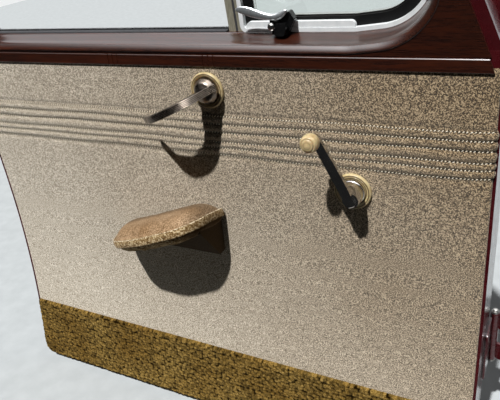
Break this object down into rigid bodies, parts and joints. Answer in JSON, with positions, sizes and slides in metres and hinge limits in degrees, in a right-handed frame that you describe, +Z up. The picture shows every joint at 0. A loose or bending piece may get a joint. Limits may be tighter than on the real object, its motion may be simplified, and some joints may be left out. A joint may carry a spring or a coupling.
{
  "type": "car front door",
  "caption": "Left front door of a late-1930s two-door sedan, open: cloth trim, pleats, carpet, armrest, handles, wood-grain sill, vent and hinges.",
  "frame": {"origin": "centre of the three screw holes of the upper pillar hinge leaf, on the face that lies on the pillar", "axes": "+X toward the car's front along the door, +Y outboard (the car's left), +Z up"},
  "size_m": [0.9724, 0.2363, 1.0781],
  "materials": {
    "body_paint": "gloss",
    "cloth": "matte",
    "armrest_cloth": "matte",
    "carpet": "matte",
    "woodgrain": "gloss",
    "felt": "matte",
    "glass": "clear",
    "chrome": "polished",
    "grey_metal": "satin",
    "black_enamel": "gloss",
    "rubber": "matte",
    "ivory": "gloss",
    "steel": "satin"
  },
  "bodies": {
    "hinge_pillar_side": {"hinge_pillar_leaf_lower": "body_paint", "hinge_pillar_leaf_upper": "body_paint", "hinge_pins": "steel"},
    "door": {"armrest_base": "armrest_cloth", "armrest_pad": "armrest_cloth", "belt_felt": "felt", "belt_moulding": "chrome", "belt_strip": "woodgrain", "belt_wiper": "rubber", "bumpers": "rubber", "carpet_strip": "carpet", "crank_arm": "chrome", "crank_escutcheon": "ivory", "crank_knob": "ivory", "division_bar": "chrome", "division_felt": "felt", "dovetail": "steel", "garnish_moulding": "woodgrain", "glass_run": "felt", "hinge_door_leaf_lower": "body_paint", "hinge_door_leaf_upper": "body_paint", "hinge_screws": "steel", "inner_shell": "body_paint", "lock_bolt": "steel", "lock_cylinder": "chrome", "lock_plate": "steel", "main_glass": "glass", "outer_handle": "chrome", "outer_handle_rose": "chrome", "outer_skin": "body_paint", "pleat_band": "cloth", "release_escutcheon": "ivory", "release_ferrule": "chrome", "release_lever": "chrome", "trim_panel": "cloth", "vent_flange": "grey_metal", "vent_glass": "glass", "vent_latch_bracket": "black_enamel", "vent_latch_lever": "chrome", "vent_latch_stud": "chrome", "vent_ledge": "grey_metal", "vent_rubber": "rubber", "vent_sash": "chrome", "weatherstrip": "rubber", "window_frame": "body_paint"}
  },
  "joints": [
    {"name": "door_hinge", "type": "hinge", "parent": "hinge_pillar_side", "child": "door", "pos_m": [-0.03558, 0.00887, 0], "axis": [0, 0, 1], "range_deg": [0, 65]}
  ]
}
